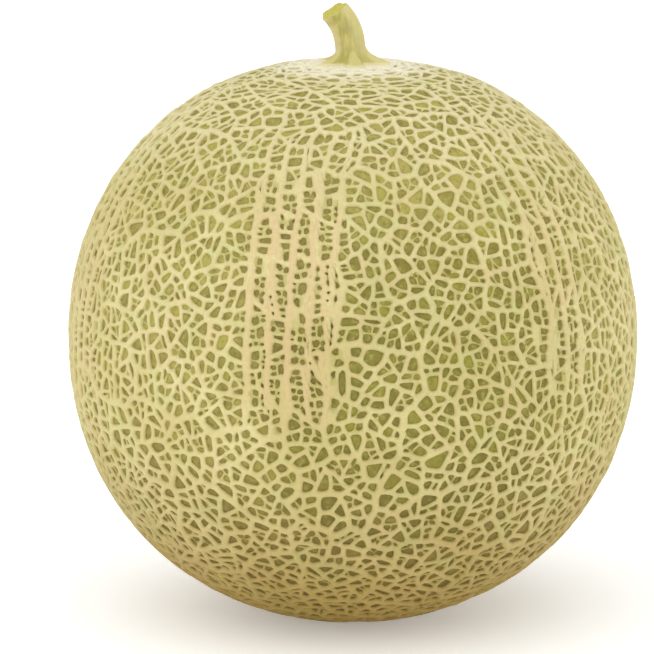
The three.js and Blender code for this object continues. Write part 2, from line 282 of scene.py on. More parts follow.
def lineThrough(cell, xx, yy):
    # The upright line of a band that passes well inside a cell, if there is one
    nearest, aside = aroundBand(cell.middle)
    most, spacing = net["bandLines"][nearest], net["lineSpacing"]
    line = min(max(math.floor(aside * meanRadius / spacing + 0.5), -most), most)
    east = line * spacing - aside * meanRadius
    isTall = yy > net["bandStretch"] ** 2 * xx
    isAside = abs(east - cell.x) > net["lineReach"] * halfSpan(xx)
    if isTall or isAside or not inBandRange(cell.middle):
        return None
    climb = cell.middle[2] / math.hypot(cell.middle[0], cell.middle[1])
    return east, line * spacing / meanRadius * climb, (nearest, line)


def grain(d, area, isFine):
    # How much less the width and the height of a cell count, where it is to stay long that way
    inside = net["crownReach"] - math.acos(max(-1.0, min(1.0, d[2])))
    if inside > 0:
        share = clamp(inside / net["crownFade"]) if isFine else 1.0
        return 1 / (1 + (net["crownStretch"] - 1) * share), 1.0
    nearest, aside = aroundBand(d)
    isBand = abs(aside) < net["bandReach"] and inBandRange(d)
    if isBand and area > net["rungArea"]:
        return 1.0, 1 / net["bandStretch"]
    return 1.0, 1.0


class Cell:
    # A ring of points laid flat, with its middle, area and second moments
    def __init__(self, ring, points):
        self.middle = unit([sum(points[i][axis] for i in ring) for axis in range(3)])
        self.east, self.north = levelFrame(self.middle)
        self.flat = [
            (dot(points[i], self.east) * meanRadius, dot(points[i], self.north) * meanRadius)
            for i in ring
        ]
        area = x = y = 0.0
        for a, b in sidesOf(self.flat):
            cross = a[0] * b[1] - b[0] * a[1]
            area += cross / 2
            x += (a[0] + b[0]) * cross / 6
            y += (a[1] + b[1]) * cross / 6
        self.area, self.x, self.y = area, x / area, y / area

    def moments(self):
        xx = yy = xy = 0.0
        for p, q in sidesOf(self.flat):
            a = (p[0] - self.x, p[1] - self.y)
            b = (q[0] - self.x, q[1] - self.y)
            cross = (a[0] * b[1] - b[0] * a[1]) / self.area
            xx += cross * (a[0] * a[0] + a[0] * b[0] + b[0] * b[0]) / 12
            yy += cross * (a[1] * a[1] + a[1] * b[1] + b[1] * b[1]) / 12
            xy += cross * (a[0] * b[1] + 2 * a[0] * a[1] + 2 * b[0] * b[1] + b[0] * a[1]) / 24
        return xx, yy, xy

    def lift(self, x, y):
        # The unit vector over a flat place
        x, y = x / meanRadius, y / meanRadius
        up = math.sqrt(max(0.0, 1 - x * x - y * y))
        return tuple(
            self.middle[k] * up + self.east[k] * x + self.north[k] * y for k in range(3)
        )


class CrackedSkin:
    # The skin parted into cells, as the solids have it: rings of points that neighbours share
    def __init__(self, net):
        self.net = net
        self.draw = seededDraw(net["seed"])
        self.points = []
        self.cells = []
        self.owner = {}
        self.partedArea = {}  # of the cell that each ridge parted
        self.capPoints = set()
        self.linePoints = {}  # the band and the line of each point on an upright line
        self.startWedges()

    def random(self):
        return next(self.draw)

    def side(self, a, b):
        return (a, b) if a < b else (b, a)

    def keepCell(self, index, ring):
        if index == len(self.cells):
            self.cells.append(ring)
        else:
            self.cells[index] = ring
        for a, b in sidesOf(ring):
            self.owner[(a, b)] = index

    def startWedges(self):
        sides = self.net["wedges"] * self.net["wedgeSides"]
        rings = []
        for radius, up in ((body["seatRadius"], 1), (body["restRadius"], -1)):
            angle = capAngle(radius, up)
            ring = []
            for i in range(sides):
                turn = math.radians(self.net["firstWedge"] + 360 * i / sides)
                across = math.sin(angle)
                ring.append(len(self.points))
                self.points.append(
                    (across * math.cos(turn), across * math.sin(turn), up * math.cos(angle))
                )
            rings.append(ring)
        top, bottom = rings
        self.keepCell(0, list(top))
        self.keepCell(1, bottom[::-1])
        count = self.net["wedgeSides"]
        for w in range(self.net["wedges"]):
            upper = [top[(w * count + count - i) % sides] for i in range(count + 1)]
            lower = [bottom[(w * count + i) % sides] for i in range(count + 1)]
            self.keepCell(2 + w, upper + lower)
        for ring in self.cells:
            for a, b in sidesOf(ring):
                self.partedArea[self.side(a, b)] = math.inf
        self.capPoints.update(top + bottom)
        for w in range(self.net["wedges"]):
            for ring in rings:
                self.linePoints[ring[w * count]] = (w, 0)

    def partSide(self, a, b, share):
        made = len(self.points)
        self.points.append(unit(lerp(self.points[a], self.points[b], share)))
        area = self.partedArea[self.side(a, b)]
        self.partedArea[self.side(a, made)] = area
        self.partedArea[self.side(made, b)] = area
        other = self.owner[(b, a)]
        ring = self.cells[other]
        ring.insert(ring.index(b) + 1, made)
        self.owner[(b, made)] = other
        self.owner[(made, a)] = other
        if other < 2:
            self.capPoints.add(made)
        if a in self.linePoints and self.linePoints[a] == self.linePoints.get(b):
            self.linePoints[made] = self.linePoints[a]
        return made

    def partCell(self, index):
        ring = self.cells[index]
        cell = Cell(ring, self.points)
        isFine = len(self.cells) >= self.net["mainCells"]
        east, north = grain(cell.middle, cell.area, isFine)
        xx, yy, xy = cell.moments()
        line = lineThrough(cell, xx, yy)
        xx, yy, xy = xx * east ** 2, yy * north ** 2, xy * east * north
        longWay = 0.5 * math.atan2(2 * xy, xx - yy)
        length = math.sqrt((xx + yy) / 2 + math.hypot((xx - yy) / 2, xy))
        swing = self.net["cutSwing"]
        if isFine:
            # Between the upright lines the smaller cells are parted level or upright
            band = clamp(self.net["bandSquareness"] * bandAt(cell.middle))
            swing *= 1 - band
            longWay += (round(longWay / (math.pi / 2)) * math.pi / 2 - longWay) * band
        cut = longWay + math.pi / 2 + (self.random() - 0.5) * swing
        shift = (self.random() - 0.5) * self.net["cutShift"] * length
        wayX, wayY = math.cos(cut) / east, math.sin(cut) / north
        startX = cell.x + shift * math.cos(longWay) / east
        startY = cell.y + shift * math.sin(longWay) / north
        if line:
            startX, startY, wayX, wayY, place = line[0], 0.0, line[1], 1.0, line[2]
        sides = [wayX * (y - startY) - wayY * (x - startX) for x, y in cell.flat]
        least = self.net["shortestShare"] * math.sqrt(cell.area)
        crossings = []
        for i, s in enumerate(sides):
            j = (i + 1) % len(ring)
            if (s > 0) != (sides[j] > 0):
                crossings.append((ring[i], ring[j], s / (s - sides[j])))
        made = []
        for a, b, share in crossings:
            span = math.dist(self.points[a], self.points[b]) * meanRadius
            bound = min(0.5, least / span)
            made.append(self.partSide(a, b, min(max(share, bound), 1 - bound)))
        full = []
        for a, b in sidesOf(ring):
            full.append(a)
            for (c, d, share), point in zip(crossings, made):
                if (c, d) == (a, b):
                    full.append(point)
        first, second = made
        if line:
            self.linePoints[first] = self.linePoints[second] = place
        start = full.index(first)
        turned = full[start:] + full[:start]
        end = turned.index(second)
        self.keepCell(index, turned[: end + 1])
        self.keepCell(len(self.cells), turned[end:] + [first])
        self.partedArea[self.side(first, second)] = math.inf if line else cell.area

    def partInto(self, count, spread):
        # Parts the largest cell again and again, with a draw for how large each one counts
        order = self.net["wedgeOrder"]
        heap = []
        for i, ring in enumerate(self.cells[2:], 2):
            rank = order.index(i) if len(self.cells) == 2 + len(order) else i
            heap.append((-round(Cell(ring, self.points).area, 6), rank, i))
        heapq.heapify(heap)
        while len(self.cells) < count:
            largest = heapq.heappop(heap)[-1]
            self.partCell(largest)
            for i in (largest, len(self.cells) - 1):
                chance = 1 + spread * (self.random() - 0.5)
                cell = Cell(self.cells[i], self.points)
                xx, yy, xy = cell.moments()
                weight = self.net["lineWeight"] if lineThrough(cell, xx, yy) else 1
                if count > self.net["mainCells"]:
                    weight *= 1 + self.net["bandWeight"] * bandAt(cell.middle)
                heapq.heappush(heap, (-cell.area * chance * weight, i, i))

    def relax(self, share):
        sums = [[0.0, 0.0, 0.0] for point in self.points]
        for ring in self.cells:
            for a, b in sidesOf(ring):
                for axis in range(3):
                    sums[a][axis] += self.points[b][axis]
        for i, total in enumerate(sums):
            if i not in self.capPoints:
                self.points[i] = unit(lerp(self.points[i], unit(total), share))

    def straighten(self, most):
        # Draws the points of each upright line back to it, in the range of the bands
        for i, (border, line) in self.linePoints.items():
            x, y, z = self.points[i]
            inside = min(z - self.net["bandLow"], self.net["bandHigh"] - z) / self.net["lineFade"]
            if inside <= 0 or i in self.capPoints:
                continue
            around = math.hypot(x, y)
            turn = math.radians(self.net["firstWedge"] + 360 * border / self.net["wedges"])
            turn += line * self.net["lineSpacing"] / (meanRadius * around)
            onLine = (around * math.cos(turn), around * math.sin(turn), z)
            stray = math.dist(self.points[i], onLine) * meanRadius
            share = min(inside, 1, most / max(stray, most))
            self.points[i] = unit(lerp(self.points[i], onLine, share))

    def addSidePoints(self, count):
        # Parts the longest sides until there are so many points, so that ridges can bend
        def span(a, b):
            return math.dist(self.points[a], self.points[b])

        sides = [pair for ring in self.cells for pair in sidesOf(ring)]
        heap = [(-span(a, b), a, b) for a, b in sides if a < b]
        heapq.heapify(heap)
        while len(self.points) < count:
            length, a, b = heapq.heappop(heap)
            made = self.partBothSides(a, b)
            for pair in ((a, made), (made, b)):
                heapq.heappush(heap, (-span(*pair), *pair))

    def partBothSides(self, a, b):
        index = self.owner[(a, b)]
        ring = self.cells[index]
        made = self.partSide(a, b, 0.5)
        ring.insert(ring.index(a) + 1, made)
        self.owner[(a, made)] = index
        self.owner[(made, b)] = index
        if index < 2:
            self.capPoints.add(made)
        return made


def warpNet(skin, warps):
    # Bends the ridges a little, each way by so many millimetres over waves of such a size
    noise.seed_set(net["seed"])  # Blender draws where noise_vector starts, by the clock unless seeded
    for i, point in enumerate(skin.points):
        if i in skin.capPoints:
            continue
        place = Vector(point) * meanRadius
        shift = sum((noise.noise_vector(place / size) * reach for size, reach in warps), Vector())
        shift *= 1 - net["bandCalm"] * bandAt(point)
        skin.points[i] = unit(tuple(place + shift))


def bandAt(d):
    # How strong the band is at a point, from 0 to 1
    nearest, aside = aroundBand(d)
    inside = math.exp(-((aside / net["bandReach"]) ** net["bandEdge"]))
    return net["bandStrength"][nearest] * inside * bandRange(d)


def bandRange(d):
    return clamp(min(d[2] - net["bandLow"], net["bandTop"] - d[2]) / net["bandFade"] + 0.5)


def lineWidth(middle):
    widening = ridges["lineWidening"][aroundBand(middle)[0]] * bandRange(middle)
    return ridges["lineWidth"] * (1 + widening)


def crackWidth(partedArea, cellCount):
    # The sides that one cut made have one area, which draws whether they are faint
    first, second = ridges["faintWaves"]
    chance = noise.cell(Vector((partedArea * first, partedArea * second, 0.5)))
    if partedArea < ridges["faintArea"] and chance < ridges["faintShare"]:
        return ridges["faintWidth"]
    meanArea = 4 * math.pi * meanRadius ** 2 / cellCount
    halvings = math.log2(max(partedArea / (2 * meanArea), 1.0))
    return ridges["finestWidth"] + ridges["stepWidth"] * halvings


def ridgeWidth(skin, a, b):
    middle = unit(lerp(skin.points[a], skin.points[b], 0.5))
    partedArea = skin.partedArea[skin.side(a, b)]
    width = lineWidth(middle) if math.isinf(partedArea) else crackWidth(partedArea, len(skin.cells))
    inCrown = clamp((middle[2] - net["bandHigh"]) / ridges["thinningSpan"])
    width *= 1 - ridges["crownThinning"] * inCrown
    width *= 1 + ridges["thickening"] * max(dot(middle, ridges["thickSide"]), 0.0)
    nearSeat = clamp((ridges["seatReach"] - math.acos(middle[2])) / ridges["seatFade"])
    width *= 1 + ridges["seatThickening"] * nearSeat
    waver = noise.noise(Vector(middle) * meanRadius / ridges["waverSize"])
    return width * (1 + ridges["widthWaver"] * waver)


class RoundedHole:
    # Where the skin shows inside a cell: the cell less half of each of its ridges, corners rounded
    def __init__(self, skin, ring, widths):
        self.cell = Cell(ring, skin.points)
        self.half = [widths[skin.side(a, b)] / 2 for a, b in sidesOf(ring)]
        self.lines = []
        for p, q in sidesOf(self.cell.flat):
            length = math.dist(p, q)
            inward = ((p[1] - q[1]) / length, (q[0] - p[0]) / length)
            away = inward[0] * (self.cell.x - p[0]) + inward[1] * (self.cell.y - p[1])
            self.lines.append((inward, p, max(away, ridges["leastClear"])))

    def drawnIn(self, share):
        # Each ring point goes towards the middle until it clears that share of each ridge
        places = []
        sharp, least = ridges["cornerSharpness"], ridges["leastClear"]
        most = ridges["mostDrawnIn"] * (ridges["topDrawnIn"] + (1 - ridges["topDrawnIn"]) * share)
        for x, y in self.cell.flat:
            total = 0.0
            for (inward, p, away), half in zip(self.lines, self.half):
                clear = inward[0] * (x - p[0]) + inward[1] * (y - p[1])
                need = (half * share - clear) / max(away - clear, least)
                total += math.exp(sharp * min(need, 1.0))
            part = min(max(math.log(total) / sharp, ridges["leastDrawnIn"]), most)
            places.append((x + (self.cell.x - x) * part, y + (self.cell.y - y) * part))
        return places


class PieceMesh:
    # The points and faces of a piece, with the values that each point holds for the material
    def __init__(self, kinds):
        self.places = []
        self.faces = []
        self.faceCells = []  # the cell of the net that each face is made for
        self.values = {kind: [] for kind in kinds}

    def add(self, place, **values):
        self.places.append(tuple(place))
        for kind, kept in self.values.items():
            kept.append(values.get(kind, 0.0))
        return len(self.places) - 1

    def addFace(self, corners, cell=0):
        self.faces.append(tuple(corners))
        self.faceCells.append(cell)

    def join(self, outer, inner, cell=0):
        for i in range(len(outer)):
            j = (i + 1) % len(outer)
            self.addFace((outer[i], outer[j], inner[j], inner[i]), cell)


def keepValues(mesh, values):
    for kind, kept in values.items():
        attribute = mesh.attributes.new(kind, "FLOAT", "POINT")
        attribute.data.foreach_set("value", kept)


def standing(mesh):
    piece = bpy.data.objects.new(mesh.name, mesh)
    bpy.context.scene.collection.objects.link(piece)
    return piece


class FruitMesh(PieceMesh):
    def __init__(self, skin):
        super().__init__(("net", "band", "tone", "width"))
        self.skin = skin
        self.isFoot = []  # where a wall meets its floor
        self.openArea = 0.0
        self.build()

    def add(self, place, isFoot=False, **values):
        self.isFoot.append(isFoot)
        return super().add(place, **values)

    def build(self):
        skin = self.skin
        pairs = {skin.side(a, b) for ring in skin.cells for a, b in sidesOf(ring)}
        widths = {pair: ridgeWidth(skin, *pair) for pair in pairs}
        tops = []
        for index, ring in enumerate(skin.cells):
            if index < 2:
                tops.append(self.cap(index, ring))
            else:
                tops.append(self.hole(index, ring, widths))
        self.ridgeTops(tops)

    def hole(self, index, ring, widths):
        # Walls down from the flat tops of the ridges, and a floor of skin
        skin = self.skin
        shape = RoundedHole(skin, ring, widths)
        cell = shape.cell
        tone = noise.cell(Vector((index * 1.7 + 0.5, 3.5, 7.5)))  # one draw for each cell
        isSlit = self.isSlit(cell)
        floor = ridges["floorDepth"]
        depth = ridges["slitDepth"] if isSlit else floor
        upper, lower = shape.drawnIn(ridges["topShare"]), shape.drawnIn(1.0)
        across = [widths[skin.side(a, b)] for a, b in sidesOf(ring)]
        top, foot = [], []
        for i, point in enumerate(ring):
            width = (across[i] + across[i - 1]) / 2
            height = min(ridges["leastHeight"] + ridges["heightPerWidth"] * width, floor)
            low = 0.0 if point in skin.capPoints or isSlit else floor - height
            high, deep = cell.lift(*upper[i]), cell.lift(*lower[i])
            shared = {"tone": tone, "width": width}
            top.append(self.add(onFruit(high, low), net=1.0, band=bandAt(high), **shared))
            shared["net"] = float(isSlit)
            foot.append(self.add(onFruit(deep, depth), not isSlit, band=bandAt(deep), **shared))
        self.join(top, foot, index)
        self.addFace(foot, index)
        self.openArea += 0.5 * sum(a[0] * b[1] - b[0] * a[1] for a, b in sidesOf(lower))
        return dict(zip(ring, top))

    def isSlit(self, cell):
        xx, yy, xy = cell.moments()
        isTall = yy > ridges["slitStretch"] ** 2 * xx
        isNarrow = 2 * halfSpan(xx) < ridges["slitWidth"]
        return isTall and isNarrow and bandAt(cell.middle) > ridges["slitBand"]

    def cap(self, index, ring):
        # The seat of the stem, or the scar that the fruit rests on, in rings down to its middle
        isSeat = index == 0
        level = onFruit(self.skin.points[ring[0]], 0)[2] if isSeat else 0.0
        rim = [onFruit(self.skin.points[point], 0)[:2] for point in ring]
        edge = [self.add((x, y, level), net=1.0, width=caps["width"]) for x, y in rim]
        outer = edge
        for share, rise, rough in caps["seat" if isSeat else "scar"]:
            inner = []
            for x, y in rim:
                place = Vector((x * share, y * share, caps["apart"] * index))
                lump = noise.noise(place / caps["lumpSize"])
                wave = noise.noise(Vector((x, y, share * caps["wanderStep"])) / caps["wanderSize"])
                reach = share * (1 + caps["wander"] * wave)
                height = max(level + rise + rough * lump, 0.0)
                inner.append(self.add((x * reach, y * reach, height), net=1.0, width=caps["width"]))
            self.join(outer, inner, index)
            outer = inner
        self.addFace(outer, index)
        return dict(zip(ring, edge))

    def ridgeTops(self, tops):
        # A face over each side of two cells, and one over each place where more of them meet
        skin = self.skin
        after = {}
        for index, ring in enumerate(skin.cells):
            for a, b in sidesOf(ring):
                after[(a, b)] = index
        done = set()
        for (a, b), index in after.items():
            other = after[(b, a)]
            if a < b:
                corners = (tops[index][b], tops[index][a], tops[other][a], tops[other][b])
                self.addFace(corners, min(index, other))
            if a in done:
                continue
            done.add(a)
            meeting = []
            at = index
            while at not in meeting:
                meeting.append(at)
                ring = skin.cells[at]
                before = ring[ring.index(a) - 1]
                at = after[(a, before)]
            if len(meeting) > 2:
                self.addFace([tops[cell][a] for cell in meeting], min(meeting))


def smoothMesh(name, places, faces, isFoot):
    # A mesh that is smooth but for the line where each hole's wall meets its floor
    mesh = bpy.data.meshes.new(name)
    mesh.from_pydata(places, [], faces)
    mesh.shade_smooth()
    ends = np.empty(len(mesh.edges) * 2, dtype=np.int32)
    mesh.edges.foreach_get("vertices", ends)
    creases = mesh.attributes.new("sharp_edge", "BOOLEAN", "EDGE")
    creases.data.foreach_set("value", isFoot[ends.reshape(-1, 2)].all(axis=1))
    return mesh


def makeFruit(skin):
    # Two halves, which share the normals of the whole, so that no seam shows between them
    made = FruitMesh(skin)
    places, isFoot = np.array(made.places) * mm, np.array(made.isFoot)
    cellIsBack = np.array([sum(skin.points[i][1] for i in ring) > 0 for ring in skin.cells])
    isBack = cellIsBack[made.faceCells]
    whole = smoothMesh("whole_rind", places.tolist(), made.faces, isFoot)
    normals = np.empty(len(whole.loops) * 3, dtype=np.float32)
    whole.corner_normals.foreach_get("vector", normals)
    corners = np.array([corner for face in made.faces for corner in face])
    sizes = np.array([len(face) for face in made.faces])
    halves = []
    parts = (("netted_rind_front", ~isBack, -1.0), ("netted_rind_back", isBack, 1.0))
    for name, isHere, toBack in parts:
        isCornerHere = np.repeat(isHere, sizes)
        used, renumbered = np.unique(corners[isCornerHere], return_inverse=True)
        ends = np.cumsum(sizes[isHere])
        faces = [part.tolist() for part in np.split(renumbered, ends[:-1])]
        mesh = smoothMesh(name, places[used].tolist(), faces, isFoot[used])
        mesh.normals_split_custom_set(normals.reshape(-1, 3)[isCornerHere].tolist())
        keepValues(mesh, {kind: np.array(kept)[used] for kind, kept in made.values.items()})
        spreadHalf(mesh, toBack)
        halves.append(standing(mesh))
        print(name, len(used), "points,", sum(sizes[isHere] - 2), "triangles")
    bpy.data.meshes.remove(whole)
    share = made.openArea / (4 * math.pi * meanRadius ** 2)
    print("open share of the skin", round(share, 3))
    return halves


def spreadHalf(mesh, toBack):
    # Lays half of the fruit out flat as four sides of an octahedron, turned to fill a square
    reach = 0.47  # leaves a margin round the square
    places = np.empty(len(mesh.vertices) * 3)
    mesh.vertices.foreach_get("co", places)
    places = places.reshape(-1, 3) - (0, 0, centreHeight(body) * mm)
    loops = np.empty(len(mesh.loops), dtype=np.int32)
    mesh.loops.foreach_get("vertex_index", loops)
    totals = np.empty(len(mesh.polygons), dtype=np.int32)
    mesh.polygons.foreach_get("loop_total", totals)
    middles = np.empty(len(mesh.polygons) * 3)
    mesh.polygons.foreach_get("center", middles)
    middles = middles.reshape(-1, 3) - (0, 0, centreHeight(body) * mm)
    signs = np.where(middles < 0, -1.0, 1.0)[np.repeat(np.arange(len(totals)), totals)]
    signs[:, 1] = toBack
    folded = places[loops] * signs
    folded /= folded.sum(axis=1, keepdims=True)
    across = folded[:, 0] * signs[:, 0] * -toBack
    up = folded[:, 2] * signs[:, 2]
    flat = np.stack([across + up, up - across], axis=1)
    spread = mesh.uv_layers.new(name="OFBake")
    spread.data.foreach_set("uv", (0.5 + reach * flat).ravel())


# The stem

stem = {
    "height": 14.4,
    "aside": -0.5,
    "footRadius": 3.8,
    "cutRadius": 3.55,
    "bend": 3.3,
    "lean": 4.2,
    "nod": 2.0,
    "rowTilt": 2.0,  # how much the rows tilt with the bend, up to the slant of the cut
    "ribs": 5,
    "ribDepth": 0.42,
    "ribPhase": 0.6,
    "rootRibs": 1.5,
    "rootUnevenness": 0.34,
    "collarRadius": 9.8,
    "collarHeight": 4.2,
    "collarEdge": 0.5,
    "collarPower": 2.6,
    "taperPower": 2.0,
    "sides": 120,
    "rows": 80,
    "rowPower": 1.5,
    "streak": 0.16,  # depth of the fine lengthwise streaks
    "streakWaves": (4.5, 2.0),  # waves round the stem and along it
    "wart": 0.16,
    "wartWaves": (3.0, 11.0),
    "wartLevel": 0.15,
    "rootSmoothness": 0.6,
    "cutRings": [(0.93, 0.03), (0.8, -0.1), (0.62, 0.02), (0.42, -0.06), (0.22, 0.05)],  # share, rise
    "cutLump": 0.08,
    "cutWaves": (0.35, 7.0),
    "seatDrop": 0.45,  # lowers the collar's rim into its seat
}


def stemPoint(t):
    bend = t ** stem["bend"]
    return Vector((-stem["lean"] * bend, -stem["nod"] * bend, t * stem["height"]))


def stemWay(t):
    tilt = stem["rowTilt"] * t
    return Vector((-stem["lean"] * tilt, -stem["nod"] * tilt, stem["height"])).normalized()


def stemNoise(t, turn, waves):
    around, along = waves
    return noise.noise(Vector((math.cos(turn) * around, math.sin(turn) * around, t * along)))


def stemRadius(t, turn):
    up = max(0.0, t * stem["height"] - stem["collarEdge"])
    flare = max(0.0, 1 - up / stem["collarHeight"])
    rib = math.cos(stem["ribs"] * turn + stem["ribPhase"])
    trunk = stem["footRadius"] + (stem["cutRadius"] - stem["footRadius"]) * t ** stem["taperPower"]
    root = (stem["collarRadius"] - stem["footRadius"]) * flare ** stem["collarPower"]
    root *= 1 + stem["rootUnevenness"] * (rib - 1)
    ribbed = stem["ribDepth"] * (1 + stem["rootRibs"] * flare) * rib
    streak = stem["streak"] * stemNoise(t, turn, stem["streakWaves"])
    wart = stem["wart"] * max(0.0, stemNoise(t, turn, stem["wartWaves"]) - stem["wartLevel"])
    return trunk + ribbed + root + (streak + wart) * (1 - stem["rootSmoothness"] * flare)


class StemMesh(PieceMesh):
    # Rows of points up the stem, then rings of points over its cut end
    def __init__(self):
        super().__init__(("cut", "rib", "west"))
        steps = [(row / (stem["rows"] - 1)) ** stem["rowPower"] for row in range(stem["rows"])]
        rows = [self.addRow(t) for t in steps]
        for lower, upper in zip(rows, rows[1:]):
            self.join(lower, upper)
        self.addFace(reversed(rows[0]))
        outer = rows[-1]
        for share, rise in stem["cutRings"]:
            inner = self.addCutRing(rows[-1], share, rise)
            self.join(outer, inner)
            outer = inner
        self.addFace(outer)

    def addRow(self, t):
        along = stemWay(t)
        across = Vector((0, 1, 0)).cross(along).normalized()
        side = along.cross(across)
        row = []
        for i in range(stem["sides"]):
            turn = 2 * math.pi * i / stem["sides"]
            outward = across * math.cos(turn) + side * math.sin(turn)
            rib = 0.5 + 0.5 * math.cos(stem["ribs"] * turn + stem["ribPhase"])
            west = 0.5 - 0.5 * math.cos(turn)
            row.append(self.add(stemPoint(t) + outward * stemRadius(t, turn), rib=rib, west=west))
        return row

    def addCutRing(self, rim, share, rise):
        middle, along = stemPoint(1), stemWay(1)
        first, second = stem["cutWaves"]
        ring = []
        for i, corner in enumerate(rim):
            lump = noise.noise(Vector((i * first, share * second, 2.0))) * stem["cutLump"]
            place = middle.lerp(Vector(self.places[corner]), share) + along * (rise + lump)
            ring.append(self.add(place, cut=1.0))
        return ring


def makeStem(seatLevel):
    made = StemMesh()
    lift = Vector((stem["aside"], 0, seatLevel - stem["seatDrop"]))
    mesh = bpy.data.meshes.new("ribbed_stem")
    mesh.from_pydata([(Vector(place) + lift) * mm for place in made.places], [], made.faces)
    mesh.shade_smooth()
    keepValues(mesh, made.values)
    return standing(mesh)


# Materials

class Wire:
    # A socket of a material, so that shader maths is written as plain expressions
    def __init__(self, finish, socket):
        self.finish = finish
        self.socket = socket

    def combine(self, operation, first, second):
        if self.socket.type == "VALUE":
            return self.finish.node("ShaderNodeMath", {"operation": operation}, [first, second])
        return self.finish.node("ShaderNodeVectorMath", {"operation": operation}, [first, second])

    def __add__(self, other):
        return self.combine("ADD", self, other)

    def __radd__(self, other):
        return self.combine("ADD", other, self)

    def __sub__(self, other):
        return self.combine("SUBTRACT", self, other)

    def __rsub__(self, other):
        return self.combine("SUBTRACT", other, self)

    def __mul__(self, other):
        return self.combine("MULTIPLY", self, other)

    def __rmul__(self, other):
        return self.combine("MULTIPLY", other, self)

    def __truediv__(self, other):
        return self.combine("DIVIDE", self, other)


class Finish:
    # A material built from nodes
    def __init__(self, name):
        self.material = bpy.data.materials.new(name)
        self.material.use_nodes = True
        self.nodes = self.material.node_tree.nodes
        self.links = self.material.node_tree.links
        self.shader = self.nodes["Principled BSDF"]

    def node(self, kind, settings=None, inputs=(), output=0):
        made = self.nodes.new(kind)
        for name, value in (settings or {}).items():
            setattr(made, name, value)
        given = inputs.items() if isinstance(inputs, dict) else enumerate(inputs)
        for name, value in given:
            self.feed(made.inputs[name], value)
        return Wire(self, made.outputs[output])

    def feed(self, socket, value):
        if isinstance(value, Wire):
            self.links.new(value.socket, socket)
        else:
            socket.default_value = value

    def attribute(self, name):
        return self.node("ShaderNodeAttribute", {"attribute_name": name}, output="Fac")

    def place(self):
        return self.node("ShaderNodeTexCoord", output="Object")

    def grainy(self, size, detail=2.0, stretch=(1, 1, 1)):
        # Noise from 0 to 1 in waves of so many millimetres
        vector = self.place()
        if stretch != (1, 1, 1):
            vector *= stretch
        inputs = {"Vector": vector, "Scale": 1 / (size * mm), "Detail": detail, "Roughness": 0.55}
        return self.node("ShaderNodeTexNoise", {}, inputs)

    def between(self, value, low, high):
        inputs = {"Value": value, "From Min": low, "From Max": high}
        return self.node("ShaderNodeMapRange", {"interpolation_type": "SMOOTHSTEP"}, inputs)

    def mix(self, factor, first, second, blend="MIX"):
        settings = {"data_type": "RGBA", "blend_type": blend}
        first = linear(first) if isinstance(first, str) else first
        second = linear(second) if isinstance(second, str) else second
        return self.node("ShaderNodeMix", settings, {0: factor, 6: first, 7: second}, output=2)

    def height(self):
        # Above the ground, in millimetres
        return self.node("ShaderNodeSeparateXYZ", {}, [self.place()], output=2) / mm

    def patches(self, size, detail, low, high, stretch=(1, 1, 1)):
        # Noise that is 0 up to the low level and 1 from the high one on
        return self.between(self.grainy(size, detail, stretch), low, high)

    def lay(self, colour, where, layer):
        # A layer is a colour and its share where it is full
        over, share = layer
        return self.mix(where * share, colour, over)

    def bump(self, height, distance, strength):
        inputs = {"Height": height, "Distance": distance * mm, "Strength": strength}
        return self.node("ShaderNodeBump", {}, inputs)

    def set(self, **sockets):
        for name, value in sockets.items():
            self.feed(self.shader.inputs[name.replace("_", " ")], value)


def linear(colour):
    # A colour as #rrggbb, as Blender's own values
    parts = [int(colour[i:i + 2], 16) / 255 for i in (1, 3, 5)]
    return [c / 12.92 if c < 0.04045 else ((c + 0.055) / 1.055) ** 2.4 for c in parts] + [1.0]


